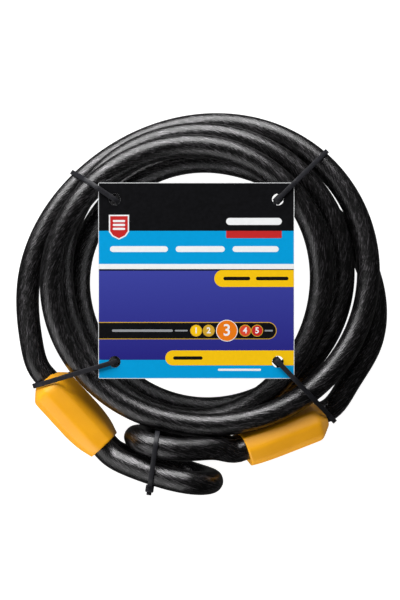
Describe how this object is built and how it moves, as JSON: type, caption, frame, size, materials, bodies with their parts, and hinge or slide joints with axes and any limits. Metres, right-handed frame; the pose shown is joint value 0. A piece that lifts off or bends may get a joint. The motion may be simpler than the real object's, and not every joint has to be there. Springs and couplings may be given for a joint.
{
  "type": "double-loop security cable",
  "caption": "Coiled steel security cable in a smoked plastic sheath with a crimped eye at each end, tied to a square printed card.",
  "frame": {"origin": "under the middle of the whole object, on the surface that it lies on", "axes": "+Z the way the card faces, +Y the top of the card, +X the card's right side"},
  "size_m": [0.1918, 0.1996, 0.0482],
  "materials": {
    "steel_wire": "bare twisted wire",
    "coil_sheath_pvc": "glossy smoked",
    "left_eye_sheath_pvc": "glossy smoked",
    "right_eye_sheath_pvc": "glossy smoked",
    "left_ferrule_metal": "pressed",
    "right_ferrule_metal": "pressed",
    "left_cover_plastic": "satin moulded",
    "right_cover_plastic": "satin moulded",
    "card_print": "glossy print",
    "cable_tie_top_left_nylon": "satin",
    "cable_tie_top_right_nylon": "satin",
    "cable_tie_bottom_left_nylon": "satin",
    "cable_tie_bottom_right_nylon": "satin",
    "eye_tie_nylon": "satin"
  },
  "bodies": {
    "root": {"steel_wire_core": "steel_wire", "coil_sheath": "coil_sheath_pvc", "left_eye_sheath": "left_eye_sheath_pvc", "right_eye_sheath": "right_eye_sheath_pvc", "left_ferrule": "left_ferrule_metal", "right_ferrule": "right_ferrule_metal", "left_cover": "left_cover_plastic", "right_cover": "right_cover_plastic", "printed_card": "card_print", "cable_tie_top_left": "cable_tie_top_left_nylon", "cable_tie_top_right": "cable_tie_top_right_nylon", "cable_tie_bottom_left": "cable_tie_bottom_left_nylon", "cable_tie_bottom_right": "cable_tie_bottom_right_nylon", "eye_tie": "eye_tie_nylon"}
  },
  "joints": []
}
